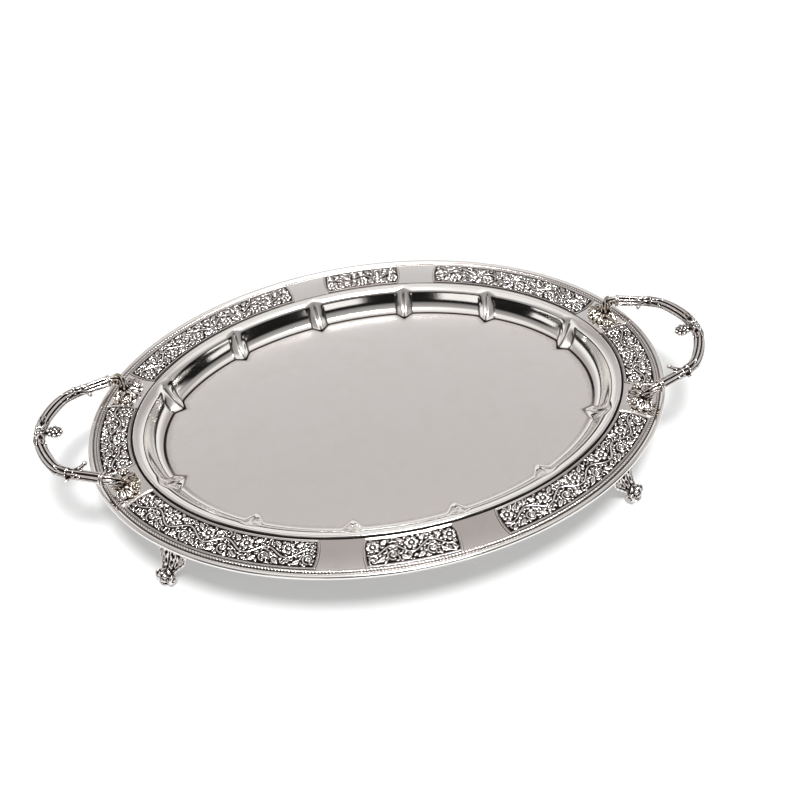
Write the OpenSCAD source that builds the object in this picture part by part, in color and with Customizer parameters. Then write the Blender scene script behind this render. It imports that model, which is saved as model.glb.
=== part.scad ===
// Oval serving tray on four cast feet, with two cast handles.
// Millimetres. The origin is on the table under the middle of the tray, +X runs to the right
// handle, +Y to the back and +Z up. Offsets in the rim are measured inward from its outer edge.

/* [Tray] */
// Length of the oval rim, without the handles
tray_l = 406.4; // [396:0.2:416]
// Width of the oval rim
tray_w = 304.8; // [296:0.2:314]
// Height of the rim's top edge above the table
rim_z = 42; // [41:0.25:46]
// Depth of the serving floor below the rim's top edge
well_d = 15; // [12:0.5:17]
// Thickness of the pressed sheet
sheet_t = 1; // [0.9:0.05:1]

/* [Rim] */
// Radius of the edge rolled round its wire
roll_r = 1.8; // [1.75:0.05:1.9]
// Width of the moulding soldered on inside the rolled edge
moulding_w = 2; // [1.6:0.1:2.2]
// Height of that moulding
moulding_h = 1; // [0.8:0.1:1.2]
// Offset at which the flat band ends
band_end = 29; // [28.5:0.1:29.2]
// Offset of the raised crest inside the band
crest_o = 30.5; // [30:0.1:31]
// Depth of the flat band below the crest and the edge
band_d = 1; // [0.8:0.1:1.2]
// Offset of the lip at which the fluted wall starts
lip_o = 38; // [36:0.5:40]
// Depth of the lip below the rim's top edge
lip_d = 3; // [2:0.25:4]

/* [Fluted well] */
// Half the length of the serving floor, measured in its lobes
floor_a = 154; // [152:0.5:158]
// Half the width of the serving floor, measured in its lobes
floor_b = 102.5; // [98:0.5:104]
// How far each rib stands into the floor
rib_in = 6; // [4:0.5:8]
// How far each rib rises past the lip
rib_up = 3; // [0:0.5:4]
// Half the angle that a rib takes at the floor
rib_half = 3; // [2.8:0.1:4]

/* [Handles] */
// Radius of the cast rail
rail_r = 3.2; // [2.8:0.1:3.4]
// Radius of the leaf wrap at the middle of the rail
wrap_r = 4.3; // [3.8:0.1:4.6]
// Height of the collars' centres above the rim's top edge
collar_h = 11; // [10:0.5:12]
// Thickness of the cast leaf plates on the rim
plate_t = 2.5; // [2:0.1:3]
// Radius of the rosette's petals, from its middle
rosette_r = 5.6; // [4.8:0.1:5.8]

/* [Feet] */
// Angle round the oval at which the feet stand
foot_angle = 39; // [36:0.5:42]
// Half the width of a foot at its top
foot_top = 12; // [10:0.5:13]
// Radius of the scroll at the toe
toe_r = 4.2; // [3.8:0.1:4.4]

/* [Fasteners] */
// Radius of the M4 studs
stud_r = 2; // [2:0.1:2]
// Clearance round studs, tenons and pegs
gap = 0.05; // [0.03:0.01:0.08]

/* [Hidden] */

bright = [0.83, 0.82, 0.8];
shaded = [0.7, 0.69, 0.67];
tarnished = [0.74, 0.68, 0.55];
steel = [0.6, 0.61, 0.62];
round_fn = 48;

// Rim and well
a = tray_l / 2;
b = tray_w / 2;
floor_z = rim_z - well_d;
band_z = rim_z - band_d;
under_z = band_z - sheet_t;
lip_z = rim_z - lip_d;
band_o = 2 * roll_r + 0.4;
curl_r = roll_r - sheet_t;
crest_w = 1.2;
slope_lean = 1.3;
outer_arc = [54:42:306];
inner_arc = [306:-46:30];
wall_stops = [1, 0.72, 0.45, 0.22, 0];
under_stops = [0, 0.22, 0.55, 1];
wire_r = 0.86 * curl_r;
wire_sides = 6;

// Angles of the three ribs in a quarter of the oval, from the long axis to the short one: where
// they start, above the lip, and where they end, on the floor
rib_top = [26, 55.5, 78.4];
rib_foot = [20.2, 51.5, 77.4];
foot_to_top = [
    [0, 0], [rib_foot[0], rib_top[0]], [rib_foot[1], rib_top[1]], [rib_foot[2], rib_top[2]],
    [90, 90]
];
// Angles on the floor that a quarter is built from: close on the ribs, a few in each lobe
rib_steps = [-1, -0.4, 0, 0.4, 1];
lobe_steps = 4;
quarter = concat(
    [0, rib_foot[0] / 4, rib_foot[0] / 2],
    [for (s = rib_steps) rib_foot[0] + s * rib_half],
    [for (k = [1:lobe_steps - 1])
        mix(rib_foot[0] + rib_half, rib_foot[1] - rib_half, k / lobe_steps)],
    [for (s = rib_steps) rib_foot[1] + s * rib_half],
    [for (k = [1:lobe_steps - 1])
        mix(rib_foot[1] + rib_half, rib_foot[2] - rib_half, k / lobe_steps)],
    [for (s = rib_steps) rib_foot[2] + s * rib_half],
    [mix(rib_foot[2] + rib_half, 90, 0.5), 90]);

// Handles, in the right back quarter
mount_angle = 19;
mount_o = 18;
plate_long = 13;
plate_deep = 9;
boss_r = 3.4;
boss_h = 4;
tenon_r = 2;
tenon_l = 4.5;
bore_l = 5;
peg_r = 1.2;
collar_r = 4.8;
collar_w = 3;
knuckle_r = 4.3;
collar_c = [188, 46.5, rim_z + collar_h];
knuckle = [209.5, 38.5, rim_z + collar_h + 1.5];
arm = unit(knuckle - collar_c);
rail_x = 230.8;
rail_z = rim_z + collar_h + 4;
neck_end = collar_c - collar_w / 2 * arm;
rail_start = collar_c + collar_w / 2 * arm;
neck_path = [
    [179, 46, band_z + 1], [179.8, 47.4, rim_z + 0.45 * collar_h],
    [181.6, 48.5, rim_z + 0.86 * collar_h], neck_end - 2.6 * arm, neck_end
];
neck_radii = [5.4, 4.6, 4.1, 3.8, 3.8];
half_rail = [
    rail_start, rail_start + 3 * arm, knuckle, [217.5, 33.2, rail_z - 2], [223.8, 24, rail_z - 1.2],
    [228.6, 12.5, rail_z - 0.4], [rail_x, 0, rail_z]
];
rosette_x = rail_x - wrap_r - 2 * gap - rosette_r;

// Feet. Places in leg_path are [outward from the rim's edge, along the edge, height].
foot_plate_t = 2.5;
foot_plate_deep = 9;
foot_plate_o = 18.5;
foot_stud_o = 20.5;
toe_out = 0.5;
toe_l = 15;
pad_r = 5;
pad_t = 1.2;
scroll_r = 3;
scroll_t = 3;
scroll_at = [-11.2, 8.6, 19];
leg_path = [
    [-12.5, 0, under_z - 1], [-12.3, 0, 31], [-10.8, 0, 22], [-7.5, 0, 13.5], [-3, 0, 7.2],
    [toe_out, 0, toe_r]
];
leg_sizes = [[2.2, foot_top], [2, 10], [2, 7.6], [2.2, 6.4], [2.6, 7], [2.8, 7.2]];

// Fasteners
washer_t = 0.8;
washer_r = 4.3;
nut_h = 3.2;
nut_r = 4.04;
stud_show = 1.2;
hole_gap = 0.25;
washer_gap = 0.15;
boss_cap = 1.1;
stud_o = 20;
stud_side = 7.5;

function mix(p, q, s) = p + (q - p) * s;
function unit(v) = v / norm(v);

// Outward direction of the oval at an angle, and the point at an offset inward from its edge
function outward(t) = unit([cos(t) / a, sin(t) / b]);
function rim_point(t, offset) = [a * cos(t), b * sin(t)] - offset * outward(t);

// 1 on the middle of a rib and 0 in the lobes, hollow on its flanks
function rib_shape(t) = max([for (r = rib_foot) pow(max(0, 1 - abs(t - r) / rib_half), 1.5)]);
function lip_point(t) = rim_point(lookup(t, foot_to_top), lip_o - rib_up * rib_shape(t));
function floor_point(t) = [floor_a * cos(t), floor_b * sin(t)]
    - rib_in * rib_shape(t) * unit([cos(t) / floor_a, sin(t) / floor_b]);
function wall_z(s) = mix(lip_z, floor_z, 1 - pow(1 - s, 1.6));

// A whole ring from the points of its first quarter, turning from +X to +Y
function whole_ring(q, z) = let (last = len(q) - 1) concat(
    [for (k = [0:1:last - 1]) [q[k][0], q[k][1], z]],
    [for (k = [last:-1:1]) [-q[k][0], q[k][1], z]],
    [for (k = [0:1:last - 1]) [-q[k][0], -q[k][1], z]],
    [for (k = [last:-1:1]) [q[k][0], -q[k][1], z]]);
function rim_ring(offset, z) =
    whole_ring([for (t = quarter) rim_point(lookup(t, foot_to_top), offset)], z);
function wall_ring(s, z) =
    whole_ring([for (t = quarter) mix(lip_point(t), floor_point(t), s)], z);
function roll_ring(r, phi) = rim_ring(roll_r + r * cos(phi), rim_z - roll_r + r * sin(phi));

// Smooth points through a short list of chosen ones, with the given number on each span
function spline_at(p, i, s) = let (
    p0 = p[max(i - 1, 0)], p1 = p[i], p2 = p[i + 1], p3 = p[min(i + 2, len(p) - 1)])
    0.5 * (2 * p1 + (p2 - p0) * s + (2 * p0 - 5 * p1 + 4 * p2 - p3) * s * s
        + (3 * p1 - 3 * p2 + p3 - p0) * s * s * s);
function spline(p, count) = concat(
    [for (i = [0:len(p) - 2], k = [0:count - 1]) spline_at(p, i, k / count)],
    [p[len(p) - 1]]);

// Elliptical rings along a path. A size is [across, along the reference direction].
function sweep_rings(path, sizes, reference, sides) = [for (i = [0:len(path) - 1]) let (
    heading = unit(path[min(i + 1, len(path) - 1)] - path[max(i - 1, 0)]),
    across = unit(cross(heading, reference)),
    third = cross(across, heading))
    [for (k = [0:sides - 1]) let (phi = 360 * k / sides)
        path[i] + sizes[i][0] * cos(phi) * across + sizes[i][1] * sin(phi) * third]];

// Triangles that join ring i to ring j, both of n points
function skin(i, j, n) = [for (k = [0:n - 1]) each [
    [i * n + k, j * n + (k + 1) % n, j * n + k],
    [i * n + k, i * n + (k + 1) % n, j * n + (k + 1) % n]]];

// A solid skinned over rings of points. A closed one has no ends.
module loft(rings, closed = false) {
    n = len(rings[0]);
    m = len(rings);
    sides = [for (i = [0:m - 2]) each skin(i, i + 1, n)];
    ends = closed ? skin(m - 1, 0, n)
        : [[for (k = [0:n - 1]) n - 1 - k], [for (k = [0:n - 1]) (m - 1) * n + k]];
    polyhedron([for (r = rings) each r], concat(sides, ends), convexity = 10);
}

// Copies a piece made for the right back quarter into another quarter, or into all four
module quarter_of(side, depth) {
    mirror([side < 0 ? 1 : 0, 0, 0]) mirror([0, depth < 0 ? 1 : 0, 0]) children();
}
module all_quarters() {
    for (side = [-1, 1], depth = [-1, 1]) quarter_of(side, depth) children();
}

// Stands a piece on the rim, with its +X outward and its +Y along the edge
module at_rim(angle, offset, side = 0) {
    point = rim_point(angle, offset);
    facing = outward(angle);
    translate([point[0], point[1], 0]) rotate(atan2(facing[1], facing[0]))
        translate([0, side, 0]) children();
}
module at_handle_studs() {
    for (side = [-1, 1]) at_rim(mount_angle, stud_o, side * stud_side) children();
}

// Turns a piece made along +Z so that it runs along a direction from a point
module pointing(point, direction) {
    translate(point) rotate([0, acos(direction[2]), atan2(direction[1], direction[0])])
        children();
}
module tube(inner, outer, height) {
    difference() {
        cylinder(r = outer, h = height, $fn = round_fn);
        translate([0, 0, -1]) cylinder(r = inner, h = height + 2, $fn = round_fn);
    }
}

// Pressed sheet: serving floor, fluted wall, crest, flat band and edge rolled round its wire
module tray_body() {
    color(bright) difference() {
        loft(concat(
            [for (s = wall_stops) wall_ring(s, wall_z(s))],
            [rim_ring(crest_o + crest_w, mix(rim_z, lip_z, 0.25)), rim_ring(crest_o, rim_z)],
            [rim_ring(band_end, band_z), rim_ring(band_o, band_z)],
            [for (phi = outer_arc) roll_ring(roll_r, phi)],
            [for (phi = inner_arc) roll_ring(curl_r, phi)],
            [rim_ring(band_o, under_z), rim_ring(band_end, under_z)],
            [rim_ring(crest_o, rim_z - sheet_t)],
            [for (s = under_stops)
                wall_ring(s, wall_z(s) - sheet_t * (s == 1 ? 1 : slope_lean))]));
        all_quarters() at_handle_studs() translate([0, 0, under_z - 1])
            cylinder(r = stud_r + hole_gap, h = sheet_t + 2, $fn = round_fn);
    }
}

// Wire that stiffens the rolled edge
module edge_wire() {
    color(steel) loft(
        [for (k = [0:wire_sides - 1]) roll_ring(wire_r, 360 * k / wire_sides)], closed = true);
}

// Half-round moulding on the band, against the rolled edge
module edge_moulding() {
    half = moulding_w / 2;
    middle = band_o + 0.05 + half;
    section = [[half, 0], [0.78 * half, 0.66], [0, 1], [-0.78 * half, 0.66], [-half, 0]];
    color(bright) loft([for (p = section) rim_ring(middle + p[0], band_z + p[1] * moulding_h)],
        closed = true);
}

// Cast rail of a handle, with a tenon at each end and a hole for the rosette's peg
module handle(side) {
    points = concat(half_rail, [for (k = [len(half_rail) - 2:-1:0])
        [half_rail[k][0], -half_rail[k][1], half_rail[k][2]]]);
    path = spline(points, 4);
    color(bright) quarter_of(side, 1) difference() {
        union() {
            loft(sweep_rings(path, [for (p = path) [rail_r, rail_r]], [0, 0, 1], 10));
            for (depth = [-1, 1]) quarter_of(1, depth) {
                pointing(rail_start - (collar_w + tenon_l) * arm, arm)
                    cylinder(r = tenon_r, h = collar_w + tenon_l + 1, $fn = round_fn);
                translate(knuckle) sphere(r = knuckle_r, $fn = round_fn);
            }
            translate([rail_x, 0, rail_z]) sphere(r = wrap_r, $fn = round_fn);
        }
        translate([rail_x - wrap_r - 1, 0, rail_z]) rotate([0, 90, 0])
            cylinder(r = peg_r + gap, h = wrap_r + 1.5, $fn = round_fn);
    }
}

// Flower on the inner side of the rail, held by a peg
module rosette(side) {
    petals = 8;
    petal_r = 1.7;
    petal_lift = 0.4;
    cup_t = 2.6;
    cup_drop = 1.4;
    cup_inset = 1.4;
    eye_r = 1.9;
    eye_lift = 1;
    color(bright) quarter_of(side, 1) translate([rosette_x, 0, rail_z]) {
        translate([0, 0, -cup_drop])
            cylinder(r = rosette_r - cup_inset, h = cup_t, $fn = round_fn);
        for (k = [0:petals - 1]) rotate(360 * k / petals)
            translate([rosette_r - petal_r, 0, petal_lift]) sphere(r = petal_r, $fn = round_fn);
        translate([0, 0, eye_lift]) sphere(r = eye_r, $fn = round_fn);
        rotate([0, 90, 0]) cylinder(r = peg_r, h = rail_x - rosette_x, $fn = round_fn);
    }
}

// Cast leaf that carries one end of a handle, held down by two studs
module leaf_mount(side, depth) {
    lobes = 7;
    outline = [for (k = [0:71]) let (phi = 5 * k, r = 1 - 0.07 * (1 - cos(lobes * phi)))
        [plate_deep * r * cos(phi), plate_long * r * sin(phi)]];
    path = spline(neck_path, 2);
    radii = spline(neck_radii, 2);
    color(tarnished) quarter_of(side, depth) difference() {
        union() {
            at_rim(mount_angle, mount_o) translate([0, 0, band_z])
                linear_extrude(plate_t) polygon(outline);
            at_handle_studs() translate([0, 0, band_z])
                cylinder(r = boss_r, h = boss_h, $fn = round_fn);
            loft(sweep_rings(path, [for (r = radii) [r, r]], [0.3, -0.95, 0], 12));
        }
        at_handle_studs() translate([0, 0, band_z - 1])
            cylinder(r = stud_r + gap, h = boss_h, $fn = round_fn);
        pointing(neck_end - bore_l * arm, arm)
            cylinder(r = tenon_r + gap, h = bore_l + 1, $fn = round_fn);
    }
}

// Ring of two beads over the joint between a handle and its mount
module collar(side, depth) {
    waist = collar_r - 0.9;
    bead_start = 0.35;
    bead_end = 1;
    bead_foot = 1.35;
    color(bright) quarter_of(side, depth) pointing(neck_end, arm) rotate_extrude($fn = round_fn)
        polygon([
            [tenon_r + gap, 0], [waist, 0], [collar_r, bead_start], [collar_r, bead_end],
            [waist, bead_foot], [waist, collar_w - bead_foot], [collar_r, collar_w - bead_end],
            [collar_r, collar_w - bead_start], [waist, collar_w], [tenon_r + gap, collar_w]
        ]);
}

// Cast scroll foot: plate under the rim, leaf-shaped leg, side scrolls and a rolled toe
module foot(side, depth) {
    color(shaded) quarter_of(side, depth) at_rim(foot_angle, 0) difference() {
        union() {
            translate([-foot_plate_o, 0, under_z - foot_plate_t]) linear_extrude(foot_plate_t)
                polygon([for (k = [0:35]) [foot_plate_deep * cos(10 * k), foot_top * sin(10 * k)]]);
            loft(sweep_rings(spline(leg_path, 3), spline(leg_sizes, 3), [0, 1, 0], 12));
            for (y = [-1, 1]) translate([scroll_at[0], y * scroll_at[1], scroll_at[2]])
                rotate([0, 90, 0]) cylinder(r = scroll_r, h = scroll_t, $fn = round_fn);
            translate([toe_out, toe_l / 2, toe_r]) rotate([90, 0, 0])
                cylinder(r = toe_r, h = toe_l, $fn = round_fn);
            translate([toe_out, 0, 0]) cylinder(r = pad_r, h = pad_t, $fn = round_fn);
        }
        translate([-foot_stud_o, 0, under_z - foot_plate_t - 1])
            cylinder(r = stud_r + gap, h = foot_plate_t + 2, $fn = round_fn);
    }
}

// Fasteners: two studs in each leaf mount, and one welded under the rim for each foot
module handle_studs() {
    low = under_z - washer_t - nut_h - stud_show;
    color(steel) all_quarters() at_handle_studs() translate([0, 0, low])
        cylinder(r = stud_r, h = band_z + boss_h - boss_cap - low, $fn = round_fn);
}
module handle_washers() {
    color(steel) all_quarters() at_handle_studs() translate([0, 0, under_z - washer_t])
        tube(stud_r + washer_gap, washer_r, washer_t);
}
module handle_nuts() {
    color(steel) all_quarters() at_handle_studs() translate([0, 0, under_z - washer_t - nut_h])
        nut();
}
module foot_studs() {
    length = foot_plate_t + washer_t + nut_h + stud_show;
    color(steel) all_quarters() at_rim(foot_angle, foot_stud_o)
        translate([0, 0, under_z - length]) cylinder(r = stud_r, h = length, $fn = round_fn);
}
module foot_washers() {
    color(steel) all_quarters() at_rim(foot_angle, foot_stud_o)
        translate([0, 0, under_z - foot_plate_t - washer_t])
            tube(stud_r + washer_gap, washer_r, washer_t);
}
module foot_nuts() {
    color(steel) all_quarters() at_rim(foot_angle, foot_stud_o)
        translate([0, 0, under_z - foot_plate_t - washer_t - nut_h]) nut();
}
module nut() {
    difference() {
        cylinder(r = nut_r, h = nut_h, $fn = 6);
        translate([0, 0, -1]) cylinder(r = stud_r + gap, h = nut_h + 2, $fn = round_fn);
    }
}

tray_body();
edge_wire();
edge_moulding();
handle(-1);  // left_handle
handle(1);  // right_handle
rosette(-1);  // left_rosette
rosette(1);  // right_rosette
leaf_mount(-1, -1);  // left_front_leaf_mount
leaf_mount(-1, 1);  // left_back_leaf_mount
leaf_mount(1, -1);  // right_front_leaf_mount
leaf_mount(1, 1);  // right_back_leaf_mount
collar(-1, -1);  // left_front_collar
collar(-1, 1);  // left_back_collar
collar(1, -1);  // right_front_collar
collar(1, 1);  // right_back_collar
foot(-1, -1);  // left_front_foot
foot(-1, 1);  // left_back_foot
foot(1, -1);  // right_front_foot
foot(1, 1);  // right_back_foot
handle_studs();
handle_washers();
handle_nuts();
foot_studs();
foot_washers();
foot_nuts();
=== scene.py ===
"""Silver-plated oval serving tray: the looks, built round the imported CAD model."""
import math

import bpy
import numpy as np
from mathutils import Matrix, Vector


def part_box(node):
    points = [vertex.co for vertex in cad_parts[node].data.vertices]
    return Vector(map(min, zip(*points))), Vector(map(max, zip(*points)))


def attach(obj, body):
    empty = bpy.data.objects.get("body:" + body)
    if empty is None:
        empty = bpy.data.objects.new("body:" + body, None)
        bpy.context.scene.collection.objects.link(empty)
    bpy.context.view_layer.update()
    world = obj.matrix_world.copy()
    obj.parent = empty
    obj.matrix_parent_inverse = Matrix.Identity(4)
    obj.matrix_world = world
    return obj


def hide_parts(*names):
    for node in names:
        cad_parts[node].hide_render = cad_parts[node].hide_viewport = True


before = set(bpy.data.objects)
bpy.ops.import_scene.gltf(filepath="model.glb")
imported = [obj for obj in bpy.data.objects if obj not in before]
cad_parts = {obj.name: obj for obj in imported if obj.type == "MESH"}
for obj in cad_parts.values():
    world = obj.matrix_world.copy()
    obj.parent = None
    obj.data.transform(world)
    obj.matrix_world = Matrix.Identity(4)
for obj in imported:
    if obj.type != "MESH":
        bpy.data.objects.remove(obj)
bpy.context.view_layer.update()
MM = 0.001
ROOT = "root"


# ---------------------------------------------------------------- sizes, in millimetres
def corners(node):
    """A CAD node's lowest and highest corners, in millimetres."""
    low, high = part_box(node)
    return np.array(low) / MM, np.array(high) / MM


_, (HALF_L, HALF_W, RIM_Z) = corners("tray_body")
SHEET = 1.0
WELL_DEPTH = 15.0
FLOOR_Z = RIM_Z - WELL_DEPTH
BAND_Z = RIM_Z - 1.0
UNDER_Z = BAND_Z - SHEET
LIP_Z = RIM_Z - 3.0

# Offsets inward from the rim's outer edge
ROLL_R = 1.8
BAND_START = 2 * ROLL_R + 0.4
MOULDING_W = 2.0
CHASED_START = 6.2
CHASED_END = 28.8
BAND_END = 29.0
CREST = 31.4
LIP = 38.0
MID_BAND = (CHASED_START + CHASED_END) / 2

# The serving floor, and the ribs with their angles in the first quarter, at the lip and at the floor
FLOOR_HALF_L = 154.0
FLOOR_HALF_W = 102.5
RIB_IN = 6.0
RIB_UP = 2.0
RIB_TOP = np.array([26.0, 55.5, 78.4])
RIB_FOOT = np.array([20.2, 51.5, 77.4])


# ---------------------------------------------------------------- mesh tools
def build(name, verts, faces, material, slot, layers, replaces=(), sharp=0):
    """A piece from vertices in millimetres and faces of three or four corners."""
    verts = np.asarray(verts, float)
    mesh = bpy.data.meshes.new(name)
    mesh.vertices.add(len(verts))
    mesh.vertices.foreach_set("co", (verts * MM).astype(np.float32).ravel())
    faces = [np.asarray(f, np.int64) for f in faces if len(f)]
    corner_count = sum(f.size for f in faces)
    mesh.loops.add(corner_count)
    mesh.loops.foreach_set("vertex_index", np.concatenate([f.ravel() for f in faces]).astype(np.int32))
    sizes = np.concatenate([np.full(len(f), f.shape[1]) for f in faces])
    starts = np.concatenate([[0], np.cumsum(sizes)[:-1]])
    mesh.polygons.add(len(sizes))
    mesh.polygons.foreach_set("loop_start", starts.astype(np.int32))
    mesh.update(calc_edges=True)
    for key, values in layers.items():
        layer = mesh.attributes.new(key, "FLOAT", "POINT")
        layer.data.foreach_set("value", np.asarray(values, np.float32))
    mesh.materials.append(material)
    mesh.shade_smooth()
    if sharp:
        mesh.set_sharp_from_angle(angle=math.radians(sharp))
    piece = bpy.data.objects.new(name, mesh)
    bpy.context.scene.collection.objects.link(piece)
    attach(piece, ROOT)
    if replaces:
        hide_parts(*replaces)


def grid_faces(rows, cols, wrap_rows=False, wrap_cols=False, flip=False):
    """Quads over a grid of rows by cols vertices, numbered row by row."""
    r = np.arange(rows if wrap_rows else rows - 1)
    c = np.arange(cols if wrap_cols else cols - 1)
    r0, c0 = np.meshgrid(r, c, indexing="ij")
    r1, c1 = (r0 + 1) % rows, (c0 + 1) % cols
    quads = np.stack([r0 * cols + c0, r0 * cols + c1, r1 * cols + c1, r1 * cols + c0], -1)
    quads = quads.reshape(-1, 4)
    return quads[:, ::-1] if flip else quads


def smooth_step(x, low, high):
    s = np.clip((x - low) / (high - low), 0, 1)
    return s * s * (3 - 2 * s)


# ---------------------------------------------------------------- the oval
def unit(v):
    v = np.asarray(v, float)
    return v / np.linalg.norm(v, axis=-1, keepdims=True)


def on_circle(t):
    """Points on a circle of radius 1, at angles in degrees."""
    return np.stack([np.cos(np.radians(t)), np.sin(np.radians(t))], -1)


def outward(t):
    """Unit vectors that point out of the oval, at angles in degrees."""
    return unit(on_circle(t) / [HALF_L, HALF_W])


def rim_point(t, offset):
    """Points at an offset inward from the rim's edge."""
    return on_circle(t) * [HALF_L, HALF_W] - np.asarray(offset, float)[..., None] * outward(t)


def oval_angles(count, offset):
    """Angles of evenly spaced points along the oval at an offset."""
    fine = np.linspace(0, 360, 7201)
    steps = np.linalg.norm(np.diff(rim_point(fine, offset), axis=0), axis=1)
    length = np.concatenate([[0], np.cumsum(steps)])
    return np.interp(np.linspace(0, length[-1], count, endpoint=False), length, fine)


def folded(t):
    """An angle folded into the first quarter, with the signs of its x and y."""
    t = np.asarray(t) % 360
    q = np.where(t > 270, 360 - t, np.where(t > 180, t - 180, np.where(t > 90, 180 - t, t)))
    sx = np.where((t > 90) & (t < 270), -1, 1)
    sy = np.where(t > 180, -1, 1)
    return q, sx, sy


# ---------------------------------------------------------------- shapes made of rings and blades
def spline(points, count):
    """Smooth points through a short list of chosen ones (Catmull-Rom)."""
    p = np.asarray(points, float)
    p = np.vstack([2 * p[0] - p[1], p, 2 * p[-1] - p[-2]])
    s = np.linspace(0, 1, count, endpoint=False)[:, None]
    parts = []
    for p0, p1, p2, p3 in zip(p[:-3], p[1:-2], p[2:-1], p[3:]):
        parts.append(0.5 * (2 * p1 + (p2 - p0) * s + (2 * p0 - 5 * p1 + 4 * p2 - p3) * s**2
                            + (3 * p1 - 3 * p2 + p3 - p0) * s**3))
    return np.vstack(parts + [p[-2][None]])


def around(count):
    """Angles evenly spaced all round."""
    return np.linspace(0, 2 * np.pi, count, endpoint=False)


def along(values, count):
    """A few chosen values, spread smoothly over a number of rings."""
    values = np.atleast_1d(np.asarray(values, float))
    if len(values) == 1:
        return np.full(count, values[0])
    places = np.linspace(0, 1, len(values))
    return np.interp(np.linspace(0, 1, count), places, values)


def path_frames(path, up):
    """The directions along a path, across it and square to both, at each of its points."""
    heading = unit(np.gradient(path, axis=0))
    across = unit(np.cross(heading, np.broadcast_to(up, path.shape)))
    return heading, across, np.cross(across, heading)


def circle(axis, count, start=0.0, up=(0, 0, 1)):
    """Unit vectors that point out from an axis, evenly spaced round it."""
    axis = unit(axis)
    side = unit(np.cross(axis, up if abs(axis[2]) < 0.9 else (1, 0, 0)))
    a = start + around(count)[:, None]
    return np.cos(a) * side + np.sin(a) * np.cross(axis, side)


def ring_solid(rings):
    """A closed solid from an array of rings, shape (rings, sides, 3), with fans at its ends."""
    count, sides = rings.shape[:2]
    verts = np.vstack([rings.reshape(-1, 3), rings[0].mean(axis=0), rings[-1].mean(axis=0)])
    k = np.arange(sides)
    n = (k + 1) % sides
    last = (count - 1) * sides
    first_fan = np.stack([np.full(sides, count * sides), n, k], -1)
    last_fan = np.stack([np.full(sides, count * sides + 1), last + k, last + n], -1)
    return verts, [grid_faces(count, sides, wrap_cols=True), first_fan, last_fan]


def tube(path, radii, up=(0, 0, 1), sides=32, reeds=0, reed_depth=0.16, twist=0.0):
    """A round or reeded bar along a path."""
    path = np.asarray(path, float)
    _, across, top = path_frames(path, up)
    r = along(radii, len(path))
    phi = around(sides)
    turn = phi[None] + np.linspace(0, twist, len(path))[:, None]
    wave = 1 - reed_depth * (1 - np.abs(np.cos(reeds / 2 * turn)) ** 1.1) if reeds else 1.0
    x = (r[:, None] * wave * np.cos(turn))[..., None]
    y = (r[:, None] * wave * np.sin(turn))[..., None]
    return ring_solid(path[:, None] + x * across[:, None] + y * top[:, None])


def blade(path, widths, thick, up=(0, 0, 1), arch=0.0, lobes=0, lobe_depth=0.22, vein=0.3, sides=28):
    """A leaf with a midrib, side veins and lobed edges along a path, facing up."""
    path = np.asarray(path, float)
    count = len(path)
    _, across, top = path_frames(path, up)
    s = np.linspace(0, 1, count)
    w = along(widths, count)
    if lobes:
        w = w * (1 - lobe_depth + lobe_depth * 1.6 * np.abs(np.sin(np.pi * lobes * s)) ** 0.7)
    t = along(thick, count)
    phi = around(sides)
    x = np.cos(phi)[None]
    y = np.sin(phi)[None] * t[:, None]
    veins = vein * t[:, None] * (np.cos(2 * np.pi * (lobes * s[:, None] - 0.8 * np.abs(x))) * 0.5
                                 - 1.3 * np.exp(-(x / 0.16) ** 2))
    y = y + np.where(np.sin(phi)[None] > 0.1, veins, 0) + (arch * w)[:, None] * (1 - x**2)
    rings = path[:, None] + (w[:, None] * x)[..., None] * across[:, None] + y[..., None] * top[:, None]
    return ring_solid(rings)


def ball(center, radius, scale=(1, 1, 1), rows=14, sides=24):
    theta = np.linspace(0.06, np.pi - 0.06, rows)[:, None]
    phi = around(sides)[None]
    unit_ball = np.stack([np.sin(theta) * np.cos(phi), np.sin(theta) * np.sin(phi),
                          -np.cos(theta) * np.ones_like(phi)], -1)
    return ring_solid(np.asarray(center, float) + radius * np.asarray(scale) * unit_ball)


DISC_SIDES = 40
DISC_EDGE = 0.25
SCROLL_STEPS = 48


def disc(center, axis, radius, height):
    """A short round bar with softened edges, centred on a point."""
    axis = unit(axis)
    steps = np.array([-0.5, -0.5 + DISC_EDGE / 2, 0.5 - DISC_EDGE / 2, 0.5])
    path = np.asarray(center, float) + np.outer(steps * height, axis)
    end = 1 - DISC_EDGE * height / radius / 2
    radii = radius * np.array([end, 1, 1, end])
    return ring_solid(path[:, None] + radii[:, None, None] * circle(axis, DISC_SIDES)[None])


def scroll(center, start_dir, end_dir, outer, inner, turns, thick, up):
    """A flat spiral bar that starts at its outer end and winds in to its eye."""
    a = np.linspace(0, 2 * np.pi * turns, SCROLL_STEPS)[:, None]
    r = outer * (inner / outer) ** (a / a[-1])
    spiral = r * (np.cos(a) * unit(start_dir) + np.sin(a) * unit(end_dir))
    path = np.asarray(center, float) + spiral
    return tube(path, thick, up=up, sides=14)


def join(shapes):
    """Several shapes as one list of vertices and faces."""
    verts, faces, base = [], [], 0
    for v, groups in shapes:
        verts.append(v)
        faces += [np.asarray(g) + base for g in groups]
        base += len(v)
    return np.vstack(verts), faces


def mirrored(shape, sx, sy):
    """A shape mirrored by signs on x and y, with its faces still turned outward."""
    verts, faces = shape
    flip = sx * sy < 0
    return verts * np.array([sx, sy, 1]), [f[:, ::-1] if flip else f for f in faces]


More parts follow.
